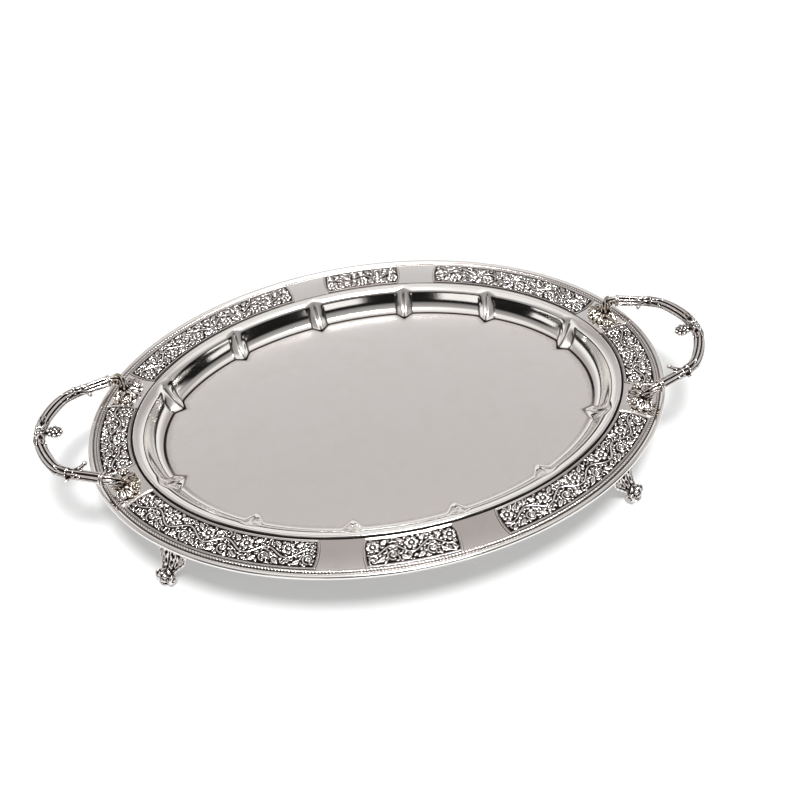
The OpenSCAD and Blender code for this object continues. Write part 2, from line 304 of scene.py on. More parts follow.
def fused(shapes, voxel):
    """Overlapping closed shapes as one watertight skin, the way a casting is one skin."""
    verts, faces = join(shapes)
    mesh = bpy.data.meshes.new("fuse")
    mesh.from_pydata(verts.tolist(), [], [f for group in faces for f in group.tolist()])
    scratch = bpy.data.objects.new("fuse", mesh)
    bpy.context.scene.collection.objects.link(scratch)
    remesh = scratch.modifiers.new("fuse", "REMESH")
    remesh.mode = "VOXEL"
    remesh.voxel_size = voxel
    done = scratch.evaluated_get(bpy.context.evaluated_depsgraph_get()).to_mesh()
    new_verts = np.empty(len(done.vertices) * 3)
    done.vertices.foreach_get("co", new_verts)
    corners_of = np.empty(len(done.loops), np.int64)
    done.loops.foreach_get("vertex_index", corners_of)
    sizes = np.empty(len(done.polygons), np.int64)
    done.polygons.foreach_get("loop_total", sizes)
    starts = np.concatenate([[0], np.cumsum(sizes)[:-1]])
    groups = []
    for size in (3, 4):
        pick = starts[sizes == size]
        if len(pick):
            groups.append(corners_of[pick[:, None] + np.arange(size)])
    scratch.to_mesh_clear()
    bpy.data.objects.remove(scratch)
    bpy.data.meshes.remove(mesh)
    return new_verts.reshape(-1, 3), groups


def hollows(shape, rounds):
    """How far each vertex lies below its smoothed surroundings, in millimetres."""
    verts, groups = shape
    edges = [np.stack([g[:, k], g[:, (k + 1) % g.shape[1]]], -1) for g in groups for k in range(g.shape[1])]
    start, end = np.vstack(edges + [edge[:, ::-1] for edge in edges]).T
    share = np.bincount(start, minlength=len(verts))[:, None].clip(1)
    smooth = verts.copy()
    for _ in range(rounds):
        smooth = np.stack([np.bincount(start, smooth[end, k], len(verts)) for k in range(3)], -1) / share
    normals = np.zeros_like(verts)
    for g in groups:
        face = np.cross(verts[g[:, 2]] - verts[g[:, 0]], verts[g[:, -1]] - verts[g[:, 1]])
        for k in range(g.shape[1]):
            normals += np.stack([np.bincount(g[:, k], face[:, c], len(verts)) for c in range(3)], -1)
    return np.sum((smooth - verts) * unit(normals + 1e-12), axis=1)


def recess_oxide_and_shade(shape, spare=0.0):
    """Oxide and painted shade in a casting's recesses, from 0 to 1: darker where the surface lies below its
    surroundings. Some spare, in millimetres, lets it climb higher.
    """
    small, large = hollows(shape, 8) + spare, hollows(shape, 50) + spare
    return {"oxide_and_shade": np.clip(smooth_step(small, -0.03, 0.018) + smooth_step(large, -0.04, 0.07), 0, 1)}


# ---------------------------------------------------------------- materials
class Shading:
    """The node tree of a material or of the sky, with short calls for the nodes that they use."""

    def __init__(self, tree):
        self.tree = tree

    def feed(self, socket, value):
        """Gives a socket a number, a colour or another node's output."""
        if isinstance(value, bpy.types.NodeSocket):
            self.tree.links.new(value, socket)
        else:
            socket.default_value = (*value, 1) if isinstance(value, tuple) else value

    def add(self, kind, result, inputs, **settings):
        """A new node with its settings and inputs. Gives back one of its outputs."""
        node = self.tree.nodes.new("ShaderNode" + kind)
        for name, value in settings.items():
            setattr(node, name, value)
        for name, value in inputs.items():
            self.feed(node.inputs[name], value)
        return node.outputs[result]

    def noise(self, scale, detail, rough=0.55):
        """Noise in the object's own space, with its scale in cycles per metre."""
        place = self.add("TexCoord", "Object", {})
        return self.add("TexNoise", "Fac", {"Vector": place, "Scale": scale, "Detail": detail,
                                            "Roughness": rough})

    def spread(self, value, low, high, to_low=0, to_high=1):
        return self.add("MapRange", "Result", {"Value": value, "From Min": low, "From Max": high,
                                               "To Min": to_low, "To Max": to_high})

    def mix(self, factor, one, two, **settings):
        return self.add("Mix", "Result", {"Factor": factor, "A": one, "B": two}, data_type="RGBA",
                        **settings)

    def math(self, kind, one, two=0.0, clamp=False):
        return self.add("Math", "Value", {0: one, 1: two}, operation=kind, use_clamp=clamp)

    def layer(self, name):
        return self.add("Attribute", "Fac", {}, attribute_name=name)

    def bump(self, height, distance, strength):
        return self.add("Bump", "Normal", {"Height": height, "Distance": distance, "Strength": strength})

    def surface(self, inputs):
        shader = self.tree.nodes["Principled BSDF"]
        for name, value in inputs.items():
            self.feed(shader.inputs[name], value)


def new_material(name):
    material = bpy.data.materials.new(name)
    material.use_nodes = True
    return material, Shading(material.node_tree)


def silver(name, bright, tarnish, oxide_and_shade_colour, rough):
    """Silver plate, bright where it is rubbed and black in its recesses and on painted lines, by the layer
    oxide_and_shade, which holds oxide and painted shade, and the layer satin.
    """
    material, tree = new_material(name)
    haze = tree.noise(60.0, 4.0)
    fine = tree.noise(900.0, 5.0, 0.7)
    # The mask of oxide and painted shade, with fine noise: it darkens the colour towards the darker colour
    # and then to black, and makes it rougher.
    oxide_and_shade_mask = tree.math("ADD", tree.layer("oxide_and_shade"), tree.spread(fine, 0.3, 0.7, -0.1, 0.1), clamp=True)
    colour = tree.mix(tree.spread(haze, 0.42, 0.68), bright, tarnish)
    tarnished_and_shaded = tree.mix(tree.spread(oxide_and_shade_mask, 0.1, 0.5), colour, oxide_and_shade_colour)
    smudge = tree.spread(haze, 0.3, 0.75, rough, rough + 0.02)
    satin = tree.spread(tree.layer("satin"), 0, 1, 0, 0.17)
    rougher = tree.math("ADD", satin, tree.spread(oxide_and_shade_mask, 0.2, 1, 0, 0.36))
    tree.surface({
        "Metallic": 1.0,
        "Base Color": tree.mix(tree.spread(oxide_and_shade_mask, 0.42, 0.85), tarnished_and_shaded, BLACK),
        "Roughness": tree.math("ADD", smudge, rougher),
        "Normal": tree.bump(fine, 0.00003, 0.5),
    })
    return material


BRIGHT = (0.93, 0.908, 0.885)
BLACK = (0.012, 0.009, 0.009)
SHEET_SILVER = silver("polished_silver", BRIGHT, (0.90, 0.87, 0.835), (0.40, 0.36, 0.34), 0.07)
CHASED = silver("chased_silver", (0.93, 0.905, 0.885), (0.86, 0.81, 0.79), (0.15, 0.115, 0.105), 0.13)
CAST = silver("cast_silver", (0.90, 0.87, 0.85), (0.80, 0.73, 0.70), (0.14, 0.105, 0.095), 0.13)
TARNISHED = silver("tarnished_silver", (0.86, 0.825, 0.79), (0.70, 0.61, 0.50), (0.26, 0.19, 0.13), 0.17)


# ---------------------------------------------------------------- the pressed sheet
RIB_REACH = 7.2
LOBE_CURVE = 2.4
RIB_CURVE = 1.5
FOLD_HEIGHT = 4.2
WALL_RINGS = 27
SLOPE_TOP = RIM_Z - 0.3
SLOPE_START = CREST + 1.2
# Painted shade on the rings about the floor's edge, from the last one on the floor: a dark line that stands
# for the shade and dark reflection where the wall meets the floor
FLOOR_EDGE_SHADE = [0.25, 0.95, 0.95, 0.95, 0.9, 0.35]


def rib_at(t):
    """How far a rib stands in at each angle: two folds with a groove between them, and the painted shade
    lines down its groove and sides.
    """
    q, _, _ = folded(t)
    foot = np.radians(RIB_FOOT)
    pace = np.radians(np.hypot(FLOOR_HALF_L * np.sin(foot), FLOOR_HALF_W * np.cos(foot)))
    d = np.clip((np.abs(q[:, None] - RIB_FOOT) * pace).min(axis=1) / RIB_REACH, 0, 1)
    cusp = (1 - d) ** 1.6 * (1 + 0.8 * d)
    fold = (1 - d**2) ** 2 - cusp - 0.34 * np.exp(-((d / 0.14) ** 2))
    # Painted shade lines: one down the groove in the rib's middle and one near each of its outer edges.
    rib_shade_lines = 0.8 * np.exp(-((d / 0.1) ** 2)) + 0.95 * np.exp(-(((d - 0.84) / 0.09) ** 2))
    return cusp, fold, np.clip(rib_shade_lines, 0, 1) * (d < 0.99)


def top_angle(t):
    """The angle above the lip for an angle on the floor: the ribs lean as they rise."""
    q, sx, sy = folded(t)
    q = np.interp(q, [0, *RIB_FOOT, 90], [0, *RIB_TOP, 90])
    return np.where(sx > 0, np.where(sy > 0, q, 360 - q), np.where(sy > 0, 180 - q, 180 + q))


def body_angles(quarter_count):
    """Angles all round, close together on the ribs."""
    fine = np.linspace(0, 90, 3601)
    density = 1 + sum(5 * np.exp(-(((fine - r) / 2.4) ** 2)) for r in RIB_FOOT)
    total = np.concatenate([[0], np.cumsum((density[1:] + density[:-1]) / 2)])
    q = np.interp(np.linspace(0, total[-1], quarter_count + 1), total, fine)
    return np.concatenate([q[:-1], 180 - q[:0:-1], 180 + q[:-1], 360 - q[:0:-1]])


def ring_at(xy, z):
    return np.column_stack([xy, np.broadcast_to(z, len(xy))])


def tray_body():
    t = body_angles(216)
    top = top_angle(t)
    cusp, fold, rib_shade = rib_at(t)
    facing = unit(on_circle(t) / [FLOOR_HALF_L, FLOOR_HALF_W])
    floor_xy = on_circle(t) * [FLOOR_HALF_L, FLOOR_HALF_W] - (RIB_IN * cusp)[:, None] * facing
    lip = LIP - RIB_UP * cusp
    lip_xy = rim_point(top, lip)
    curve = LOBE_CURVE + (RIB_CURVE - LOBE_CURVE) * cusp

    def level(offset, z):
        return ring_at(rim_point(top, offset), z)

    def wall(s, drop=0.0):
        """From the lip, s = 0, down to the floor, s = 1."""
        z = LIP_Z - (LIP_Z - FLOOR_Z) * (1 - (1 - s) ** curve)
        stand = FOLD_HEIGHT * fold * math.sin(math.pi * s) ** 0.7
        return ring_at(lip_xy + (floor_xy - lip_xy) * s - stand[:, None] * facing, z - drop)

    def slope(s, drop=0.0):
        """From the crest, s = 0, down to the lip, s = 1."""
        return level(SLOPE_START + (lip - SLOPE_START) * s, SLOPE_TOP - (SLOPE_TOP - LIP_Z) * s**1.7 - drop)

    rings = [ring_at(floor_xy * f, FLOOR_Z) for f in (0.3, 0.6, 0.85, 0.95, 0.99)]
    foot = len(rings) - 1
    wall_steps = 1 - np.linspace(0, 1, WALL_RINGS) ** 1.25
    profile = np.stack([rings[-1], *map(wall, wall_steps), *map(slope, np.linspace(1, 0, 11)[1:])])
    for _ in range(2):
        profile[1:-1] = 0.25 * profile[:-2] + 0.5 * profile[1:-1] + 0.25 * profile[2:]
    rings += list(profile[1:])
    rim_start = len(rings)
    rim = [  # offset from the edge, depth below its top, oxide and painted shade
        # Rows whose last value is 1 are black lines in the grooves by the crest, at the band's end and by
        # the roll: oxide and painted shade and dark reflection.
        (CREST + 0.8, 0.14, 0), (CREST + 0.4, 0.03, 0), (CREST, 0, 0), (CREST - 0.4, 0.04, 0),
        (CREST - 0.8, 0.22, 0), (CREST - 1.05, 0.62, 0), (CREST - 1.2, 1.14, 1),
        (BAND_END + 0.05, 1.2, 1), (BAND_END - 0.1, 1, 0), (BAND_END - 0.5, 1, 0), (20, 1, 0),
        (BAND_START + 0.8, 1, 0), (BAND_START + 0.5, 1.02, 1), (BAND_START + 0.1, 1.1, 1),
    ]
    rings += [level(offset, RIM_Z - depth) for offset, depth, _ in rim]
    for radius, angles in ((ROLL_R, range(60, 307, 19)), (ROLL_R - SHEET, range(300, 29, -45))):
        rings += [level(ROLL_R + radius * math.cos(p), RIM_Z - ROLL_R + radius * math.sin(p))
                  for p in np.radians(angles)]
    rings += [level(BAND_START, UNDER_Z), level(BAND_END, UNDER_Z), level(CREST, RIM_Z - SHEET)]
    rings += [slope(s, 1.1 * SHEET) for s in (0.15, 0.5, 0.9)]
    rings += [wall(s, SHEET * (1.25 - 0.25 * s)) for s in (0.02, 0.1, 0.2, 0.32, 0.46, 0.62, 0.8, 1)]
    rings += [ring_at(floor_xy * f, FLOOR_Z - SHEET) for f in (0.9, 0.5)]
    verts, faces = ring_solid(np.stack(rings))

    # How strong the painted shade lines are: full at the back and sides and fading to 0.15 at the front, as
    # dark reflections show at the back and sides.
    tarnished_and_shaded = 0.15 + 0.85 * smooth_step(np.sin(np.radians(t)), -0.7, 0.0)
    oxide_and_shade = np.zeros((len(rings), len(t)))
    oxide_and_shade[rim_start:rim_start + len(rim)] = np.array(rim)[:, 2:]
    oxide_and_shade[foot:foot + len(FLOOR_EDGE_SHADE)] = np.outer(FLOOR_EDGE_SHADE, tarnished_and_shaded)
    # Painted shade lines on the ribs' sides, over the walls.
    walls = slice(foot + 2, foot + WALL_RINGS - 1)
    oxide_and_shade[walls] = np.maximum(oxide_and_shade[walls], rib_shade * tarnished_and_shaded)
    build("pressed_sheet", verts, [f[:, ::-1] for f in faces], SHEET_SILVER, slot="silver_sheet",
          replaces=["tray_body"], sharp=35,
          layers={"satin": np.abs(verts[:, 2] - FLOOR_Z) < 0.02, "oxide_and_shade": np.append(oxide_and_shade, [0, 0])})


# ---------------------------------------------------------------- the chased band
PANEL_STEP = 0.25
PANEL_WIDTH = CHASED_END - CHASED_START
PANEL_BULGE = 1.6
SUNK = -0.3
RELIEF = 0.93

# Lengths along the band's middle line, for a fine run of angles
fine_t = np.linspace(0, 360, 14401)
fine_p = rim_point(fine_t, MID_BAND)
fine_u = np.concatenate([[0], np.cumsum(np.linalg.norm(np.diff(fine_p, axis=0), axis=1))])
BAND_LENGTH = fine_u[-1]


def band_angle(u):
    """The angle at a length along the band."""
    return np.interp(np.asarray(u) % BAND_LENGTH, fine_u, fine_t)


class Relief:
    """A height map of one panel, u along the band and v across it, in millimetres."""

    def __init__(self, length, seed):
        self.rng = np.random.default_rng(seed)
        reach = length / 2 + 1
        self.u = np.linspace(-reach, reach, int(2 * reach / PANEL_STEP) + 1)
        self.v = np.linspace(-PANEL_WIDTH / 2, PANEL_WIDTH / 2, int(PANEL_WIDTH / PANEL_STEP) + 1)
        self.half = length / 2
        self.height = np.zeros((len(self.v), len(self.u)))
        ends = self.half - PANEL_BULGE * (2 * self.v / PANEL_WIDTH)[:, None] ** 2 - np.abs(self.u)
        sides = (PANEL_WIDTH / 2 - np.abs(self.v))[:, None] * np.ones_like(ends)
        self.inside = np.minimum(ends * 0.92, sides)

    def window(self, u, v, reach):
        i = slice(*np.searchsorted(self.u, [u - reach, u + reach]))
        j = slice(*np.searchsorted(self.v, [v - reach, v + reach]))
        return j, i

    def press(self, u, v, reach, angle, shape, over=False):
        """Raises the map to a shape given in the stamp's own turned frame."""
        j, i = self.window(u, v, reach)
        du, dv = self.u[i][None] - u, self.v[j][:, None] - v
        x = du * math.cos(angle) + dv * math.sin(angle)
        y = -du * math.sin(angle) + dv * math.cos(angle)
        new = shape(x, y)
        old = self.height[j, i]
        self.height[j, i] = np.where(new > 0.02, new, old) if over else np.maximum(old, new)

    def free(self, points):
        """The share of some points that are inside the frame and not yet covered."""
        i = np.clip(np.searchsorted(self.u, points[:, 0]), 0, len(self.u) - 1)
        j = np.clip(np.searchsorted(self.v, points[:, 1]), 0, len(self.v) - 1)
        return np.mean((self.inside[j, i] > 1.9) & (self.height[j, i] < 0.3))


def dome(r, radius, height):
    return height * np.sqrt(np.clip(1 - (r / radius) ** 2, 0, 1))


def petal_flower(radius, petals, height):
    def shape(x, y):
        r, a = np.hypot(x, y), np.arctan2(y, x)
        lobe = np.abs(np.cos(petals * a / 2))
        edge = radius * (0.7 + 0.3 * lobe**0.6)
        petal = height * np.sqrt(np.clip(1 - (r / edge) ** 6, 0, 1)) * (0.3 + 0.7 * lobe**0.35)
        cup = 1 - 0.75 * np.exp(-((r - 0.36 * radius) / (0.1 * radius)) ** 2)
        vein = 1 - 0.45 * np.exp(-((lobe - 1) / 0.03) ** 2) * (r > 0.45 * radius) * (r < 0.8 * radius)
        return np.maximum(petal * cup * vein, dome(r, 0.26 * radius, height))
    return shape


def veined_leaf(length, width, height):
    def shape(x, y):
        s = np.clip(x / length, 0, 1)
        edge = width * np.sin(np.pi * s**0.8) ** 0.8 * (1 + 0.16 * np.cos(2 * np.pi * s * length / 1.7))
        body = height * np.sqrt(np.clip(1 - (y / np.maximum(edge, 0.05)) ** 2, 0, 1)) * (edge > 0.1)
        rib = 0.5 * np.exp(-((y / 0.22) ** 2))
        side = 0.16 * (1 - np.cos(2 * np.pi * (x - 1.1 * np.abs(y)) / 1.5))
        return np.where((x > 0) & (x < length), body * (1 - rib - side), 0)
    return shape


def stem(relief, points, radius, height):
    for u, v in points:
        relief.press(u, v, radius + 0.3, 0, lambda x, y: dome(np.hypot(x, y), radius, height))


def curl_points(u, v, start, turns, outer, inner, hand):
    a = np.linspace(0, 2 * np.pi * turns, int(26 * turns * outer / 2.2))
    r = outer * (inner / outer) ** (a / a[-1])
    return np.column_stack([u + r * np.cos(start + hand * a), v + r * np.sin(start + hand * a)])


WAVE = 26.0
SWING = 3.4
SPOT_V = 9.8
FULL_HALF = 70
NEAR_STEPS = ((0, 0), (0.6, 0), (-0.6, 0), (0, 0.6), (0, -0.6))


def spot(relief):
    """A random place on a panel."""
    draw = relief.rng
    return np.array([draw.uniform(-relief.half, relief.half), draw.uniform(-SPOT_V, SPOT_V)])


def tries(relief, count):
    """A number of tries, given for a panel 140 mm long, that keeps the same density on any other."""
    return range(int(count * relief.half / FULL_HALF))


def vine(relief):
    """A stem that waves along the panel, with a flower or a curl and two leaves in each bend."""
    draw = relief.rng
    bends = max(1, round(2 * relief.half / (WAVE / 2)))
    wave = 4 * relief.half / bends
    u = np.arange(-relief.half + 3, relief.half - 3, 0.22)
    phase = 2 * np.pi * (u + relief.half) / wave
    stem(relief, np.column_stack([u, SWING * np.sin(phase)]), 0.62, 0.8)
    for k in range(bends):
        centre = -relief.half + (k + 0.5) * wave / 2
        side = -1 if k % 2 == 0 else 1
        v = side * 3.6
        if k % 2 == 0:
            relief.press(centre, v, 5.4, draw.uniform(0, 6), petal_flower(4.7, 6, RELIEF), over=True)
        else:
            stem(relief, curl_points(centre, v, side * np.pi / 2, 1.6, 3.9, 0.9, side), 0.55, 0.78)
            relief.press(centre, v, 2.2, draw.uniform(0, 6), petal_flower(1.7, 5, 0.85), over=True)
        for turn in (-1, 1):
            angle = math.pi / 2 * (1 - turn) + turn * side * 0.7
            relief.press(centre + turn * 5.2, v + side * 1.2, 6, angle, veined_leaf(5.6, 1.7, 0.82))


def tendrils(relief):
    """Small hooks in what the vine leaves free."""
    draw = relief.rng
    for _ in tries(relief, 5200):
        bend = draw.uniform(1.1, 2.5)
        hook = curl_points(*spot(relief), draw.uniform(0, 2 * np.pi), draw.uniform(0.4, 0.8), bend,
                           0.6 * bend, draw.choice([-1, 1]))
        if relief.free(np.vstack([hook + step for step in NEAR_STEPS])) > 0.97:
            stem(relief, hook, 0.5, 0.75)


def loose_leaves(relief):
    draw = relief.rng
    for length, width, count in ((5.8, 1.5, 400), (4.2, 1.15, 900), (2.6, 0.8, 3000)):
        s = np.linspace(0.1, 0.9, 5)[:, None]
        for _ in tries(relief, count):
            place = spot(relief)
            angle = draw.uniform(0, 2 * np.pi)
            heading = np.array([math.cos(angle), math.sin(angle)])
            side = np.array([-heading[1], heading[0]])
            trial = [place + heading * length * s + side * w for w in (-0.8 * width, 0, 0.8 * width)]
            if relief.free(np.vstack(trial)) > 0.92:
                relief.press(*place, length + 1, angle, veined_leaf(length, width, draw.uniform(0.66, 0.86)))


def berries(relief):
    ring = np.array([[math.cos(a), math.sin(a)] for a in around(6)])
    for radius, count in ((0.9, 300), (0.6, 1200)):
        for _ in tries(relief, count):
            place = spot(relief)
            if relief.free(place + radius * 1.05 * np.vstack([ring, [[0, 0]]])) > 0.99:
                relief.press(*place, radius + 0.3, 0, lambda x, y: dome(np.hypot(x, y), radius, 0.7))


def soft_line(d, centre, half, height):
    """A rounded line along the panel's edge, at a distance from it."""
    return height * np.sqrt(np.clip(1 - ((d - centre) / half) ** 2, 0, 1))


def chased_panel(name, middle, length, seed):
    """One chased panel of the band, centred at a place along it, sunk into the sheet all round."""
    relief = Relief(length, seed)
    for pattern in (vine, tendrils, loose_leaves, berries):
        pattern(relief)
    d = relief.inside
    ground = 0.05 + 0.05 * relief.rng.random(d.shape)
    h = np.where(d > 1.75, np.maximum(relief.height, ground), ground)
    h = np.maximum(h, soft_line(d, 0.55, 0.5, 0.62))
    h = np.maximum(h, soft_line(d, 1.4, 0.3, 0.42))
    h = np.where(d < 0.06, SUNK, h)
    h[[0, -1]] = SUNK
    h[:, [0, -1]] = SUNK
    blurred = h.copy()
    for _ in range(24):
        blurred[1:-1, 1:-1] = (blurred[:-2, 1:-1] + blurred[2:, 1:-1] + blurred[1:-1, :-2]
                               + blurred[1:-1, 2:]) / 4
    # Oxide and painted shade: black in the relief's hollows and on its low ground, and a painted black line
    # round the panel's sunk edge.
    oxide_and_shade = 1 - smooth_step(h - blurred, -0.1, 0.16)
    oxide_and_shade = np.maximum(oxide_and_shade, 1 - smooth_step(h, 0.15, 0.45))
    oxide_and_shade = np.where(d < 0.3, 0.9, oxide_and_shade)

    rows, cols = h.shape
    t = band_angle(middle + relief.u)
    t = np.where(t - t[0] < -180, t + 360, t)
    offset = MID_BAND - relief.v
    xy = np.stack([rim_point(t, o) for o in offset])
    top = np.dstack([xy, BAND_Z + h]).reshape(-1, 3)
    near, far = np.arange(cols), np.arange(cols) + (rows - 1) * cols
    low = top[np.concatenate([near, far])] - [0, 0, 0.3]
    low_near = rows * cols + np.arange(cols)
    low_far = low_near + cols
    faces = [
        grid_faces(rows, cols, flip=True),
        np.stack([near[:-1], near[1:], low_near[1:], low_near[:-1]], -1),
        np.stack([far[1:], far[:-1], low_far[:-1], low_far[1:]], -1),
        np.stack([low_near[:-1], low_near[1:], low_far[1:], low_far[:-1]], -1),
    ]
    for column, turn in ((0, 1), (cols - 1, -1)):
        side = np.arange(rows) * cols + column
        fan = np.stack([np.full(rows - 1, low_near[column]), side[1:], side[:-1]], -1)
        last = np.array([[low_near[column], low_far[column], side[-1]]])
        faces += [fan[:, ::turn], last[:, ::turn]]
    values = np.concatenate([oxide_and_shade.ravel(), np.ones(2 * cols)])
    build(name, np.vstack([top, low]), faces, CHASED, slot="silver_sheet",
          layers={"oxide_and_shade": values})


# ---------------------------------------------------------------- the twisted moulding
def twisted_moulding():
    """The cord inside the rolled edge: a half-round bar with slanted grooves, open to the band below."""
    twists, per_twist, half = 520, 8, MOULDING_W / 2
    middle = BAND_START + 0.05 + half
    low, high = corners("edge_moulding")
    tall = high[2] - low[2]
    t = oval_angles(twists * per_twist, middle)
    turn = 2 * np.pi * np.arange(len(t)) / per_twist
    section = np.linspace(0, np.pi, 9)
    rings = []
    for phi in section:
        x = np.cos(phi)
        groove = 0.5 + 0.5 * np.cos(turn + 2.4 * x)
        lift = tall * np.sin(phi) * (0.72 + 0.28 * groove**0.6)
        rings.append(ring_at(rim_point(t, middle + half * x), low[2] + lift))
    for inset in (-0.98, 0.98):
        rings.append(ring_at(rim_point(t, middle + half * inset), low[2] - 0.2))
    rings = np.stack(rings)
    # Oxide and painted shade: black in the cord's slanted grooves, along its two edges and on its underside.
    groove = np.clip(0.5 - 0.5 * np.cos(turn[None] + 2.4 * np.cos(section)[:, None]), 0, 1)
    oxide_and_shade = np.vstack([np.clip(groove * 1.4 - 0.75, 0, 0.9), np.ones((2, len(t)))])
    oxide_and_shade[[0, 8]] = 1
    build("rope_moulding", rings.reshape(-1, 3),
          [grid_faces(len(rings), len(t), wrap_rows=True, wrap_cols=True, flip=True)],
          CHASED, slot="silver_casting", replaces=["edge_moulding"], layers={"oxide_and_shade": oxide_and_shade.ravel()})


# ---------------------------------------------------------------- floor, light and camera
def studio_floor():
    bpy.ops.mesh.primitive_plane_add(size=12, location=(0, 0, 0))
    floor = bpy.context.object
    floor.name = "studio_floor"
    paper, tree = new_material("white_paper")
    tree.surface({
        "Base Color": (0.36, 0.36, 0.36), "Emission Color": (1, 1, 1), "Emission Strength": 0.34,
        "Roughness": 1.0, "Specular IOR Level": 0.0,
    })
    floor.data.materials.append(paper)


def key_light():
    key = bpy.data.lights.new("key_light", "SUN")
    key.angle = math.radians(17)
    key.energy = 4.9
    lamp = bpy.data.objects.new("key_light", key)
    bpy.context.scene.collection.objects.link(lamp)
    lamp.location = (0.12, -0.36, 1.7)
    lamp.rotation_euler = (Vector((0, 0, 0)) - lamp.location).to_track_quat("-Z", "Y").to_euler()


def grey(value):
    """A slightly warm grey."""
    return value, 0.985 * value, 0.975 * value


def sky():
    """A room to be reflected: a bright back, a dark front with a row of windows, and black bands."""
    world = bpy.data.worlds.new("studio")
    bpy.context.scene.world = world
    world.use_nodes = True
    tree = Shading(world.node_tree)
    place = tree.add("TexCoord", "Generated", {})
    x, y, z = (tree.add("SeparateXYZ", axis, {"Vector": place}) for axis in "XYZ")

    def ramp(stops):
        """Colours by height in the sky, from 0 at the horizon to 1 overhead."""
        result = tree.add("ValToRGB", "Color", {"Fac": z})
        colours = result.node.color_ramp
        colours.interpolation = "EASE"
        while len(colours.elements) < len(stops):
            colours.elements.new(0.5)
        for element, (position, colour) in zip(colours.elements, stops):
            element.position = position
            element.color = (*colour, 1)
        return result

    back = ramp([
        (0.0, grey(0.9)), (0.03, grey(0.02)), (0.18, grey(0.03)), (0.26, grey(1.0)), (0.45, grey(0.9)),
        (0.64, (0.6, 0.585, 0.59)), (0.8, (0.43, 0.4, 0.39)), (0.93, grey(0.9)),
    ])
    front = ramp([
        (0.0, grey(0.5)), (0.02, grey(0.01)), (0.45, grey(0.01)), (0.6, grey(0.3)), (0.8, grey(0.4)),
        (0.93, grey(1.0)), (1.0, grey(1.0)),
    ])
    panes = ramp([
        (0.0, grey(0.0)), (0.1, grey(0.0)), (0.14, grey(1.0)), (0.3, grey(1.0)), (0.36, grey(0.0)),
    ])
    azimuth = tree.math("ARCTAN2", y, x)
    stripe = tree.math("COSINE", tree.math("MULTIPLY", azimuth, 9.0))
    windows = tree.mix(tree.spread(stripe, 0.15, 0.4), (0, 0, 0), panes)
    lit_front = tree.mix(1.0, front, windows, blend_type="ADD")
    background = world.node_tree.nodes["Background"]
    tree.feed(background.inputs["Color"], tree.mix(tree.spread(y, -0.25, 0.12), lit_front, back))
    background.inputs["Strength"].default_value = 1.0


def photo_camera():
    """The camera that was fitted to the rim's outline in the photo."""
    azimuth, elevation, roll = (math.radians(v) for v in (-7.84, 45.16, -3.81))
    distance, focal, image = 698.5, 998.5, 800
    target = Vector((33.6, -13.7, RIM_Z))
    back = Vector((math.sin(azimuth) * math.cos(elevation), -math.cos(azimuth) * math.cos(elevation),
                   math.sin(elevation)))
    right = Vector((math.cos(azimuth), math.sin(azimuth), 0))
    up = back.cross(right)
    r = math.cos(roll) * right + math.sin(roll) * up
    u = -math.sin(roll) * right + math.cos(roll) * up
    data = bpy.data.cameras.new("camera")
    data.sensor_width = 36.0
    data.lens = focal / image * data.sensor_width
    data.shift_x = -0.0375
    data.clip_start = 0.01
    camera = bpy.data.objects.new("camera", data)
    bpy.context.scene.collection.objects.link(camera)
    place = Matrix((r, u, back)).transposed().to_4x4()
    place.translation = (target + back * distance) * MM
    camera.matrix_world = place
    bpy.context.scene.camera = camera
    bpy.context.scene.view_settings.view_transform = "Standard"


# ---------------------------------------------------------------- where the panels lie
QUARTER = BAND_LENGTH / 4
PLAIN_NEAR, PLAIN_FAR = 30.5, 56.8
MOUNT_NEAR, MOUNT_FAR = 32.5, 60.0
BACK_SHIFT = 5.5


def chased_band():
    """Eight chased panels. The plain ones between them are the sheet itself."""
    chased_panel("chased_right", 0, 2 * MOUNT_NEAR, 11)
    chased_panel("chased_left", 2 * QUARTER, 2 * MOUNT_NEAR, 12)
    chased_panel("chased_back", QUARTER - BACK_SHIFT, 2 * PLAIN_NEAR, 13)
    chased_panel("chased_front", 3 * QUARTER, 2 * PLAIN_NEAR, 14)
    start, end = MOUNT_FAR, QUARTER - PLAIN_FAR
    middle, length = (start + end) / 2, end - start
    chased_panel("chased_right_back", middle - BACK_SHIFT / 2, length - BACK_SHIFT, 15)
    chased_panel("chased_left_back", 2 * QUARTER - middle - BACK_SHIFT / 2, length + BACK_SHIFT, 16)
    chased_panel("chased_left_front", 2 * QUARTER + middle, length, 17)
    chased_panel("chased_right_front", 4 * QUARTER - middle, length, 18)


# ---------------------------------------------------------------- the castings
VOXEL = 0.26
FINE_VOXEL = 0.2
SIDES = {"left": -1, "right": 1}
DEPTHS = {"front": -1, "back": 1}

collar_low, collar_high = corners("right_back_collar")
COLLAR_C = (collar_low + collar_high) / 2
_, handle_high = corners("right_handle")
WRAP_R = 4.3
RAIL_X, RAIL_Z = handle_high[0] - WRAP_R, handle_high[2] - WRAP_R
KNUCKLE = np.array([209.5, 38.5, RIM_Z + 12.5])
ARM = unit(KNUCKLE - COLLAR_C)
COLLAR_W = 3.0
RAIL_START = COLLAR_C + COLLAR_W / 2 * ARM
BOW_MIDDLE = np.array([RAIL_X, 0, RAIL_Z])
half_bend = [KNUCKLE, [217.5, 33.2, RAIL_Z - 2], [223.8, 24, RAIL_Z - 1.2], [228.6, 12.5, RAIL_Z - 0.4],
             BOW_MIDDLE]
bow = spline(np.vstack([half_bend, np.array(half_bend[-2::-1]) * [1, -1, 1]]), 26)


